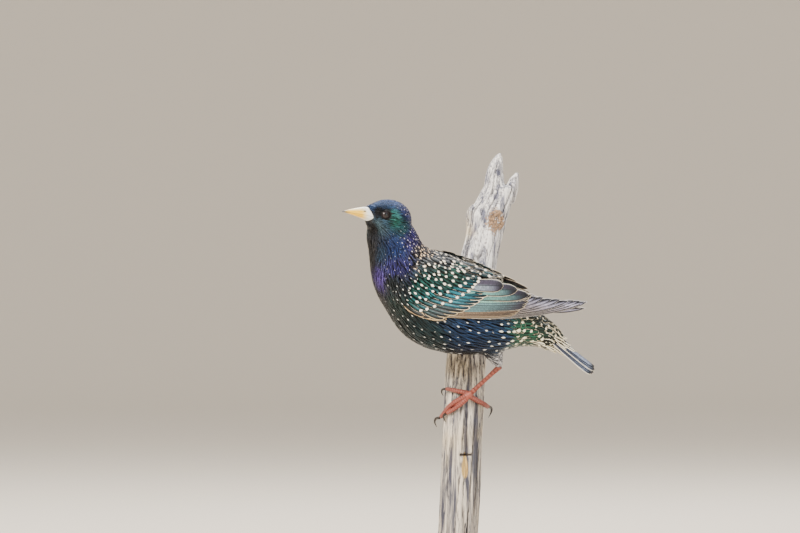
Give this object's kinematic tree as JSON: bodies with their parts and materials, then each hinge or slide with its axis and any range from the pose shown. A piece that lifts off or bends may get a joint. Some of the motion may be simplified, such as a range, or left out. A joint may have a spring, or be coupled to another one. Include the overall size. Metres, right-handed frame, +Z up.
{
  "type": "starling",
  "caption": "Life-size still starling in spotted glossy winter plumage, perched side-on on a weathered branch that a plain round display stand holds up.",
  "frame": {"origin": "centre of the underside of the round stand base", "axes": "+Z up; the bird faces -X and its left side faces -Y, with its head turned towards -X and -Y; the branch stands behind it"},
  "size_m": [0.1723, 0.14, 0.2947],
  "materials": {
    "body_plumage": "glossy dark feathers with a green, blue and violet sheen and cream tip spots",
    "wing_feathers": "glossy teal and slate feathers with pale cream edges",
    "tail_feathers": "slate grey feathers with dark shafts and pale edges",
    "thigh_down": "soft short grey and white feathers",
    "bill_horn": "smooth horn, pale yellow with a dark tip",
    "eye": "wet, dark brown iris and black pupil",
    "leg_skin": "pinkish red scaled skin",
    "claw_horn": "smooth black horn",
    "weathered_wood": "dry, silver grey, fibrous, barkless",
    "stand_wood": "dark, satin lacquered",
    "stand_steel": "plain brushed"
  },
  "bodies": {
    "root": {"head": "body_plumage", "neck": "body_plumage", "torso": "body_plumage", "wing_left": "wing_feathers", "wing_right": "wing_feathers", "tail": "tail_feathers", "thigh_left": "thigh_down", "bill_upper": "bill_horn", "bill_lower": "bill_horn", "eye_left": "eye", "eye_right": "eye", "shank_left": "leg_skin", "shank_right": "leg_skin", "foot_left": "leg_skin", "foot_right": "leg_skin", "claw_left_middle": "claw_horn", "claw_left_inner": "claw_horn", "claw_left_outer": "claw_horn", "claw_left_hind": "claw_horn", "claw_right_middle": "claw_horn", "claw_right_inner": "claw_horn", "claw_right_outer": "claw_horn", "claw_right_hind": "claw_horn", "perch": "weathered_wood", "stand_base": "stand_wood", "stand_rod": "stand_steel"}
  },
  "joints": []
}
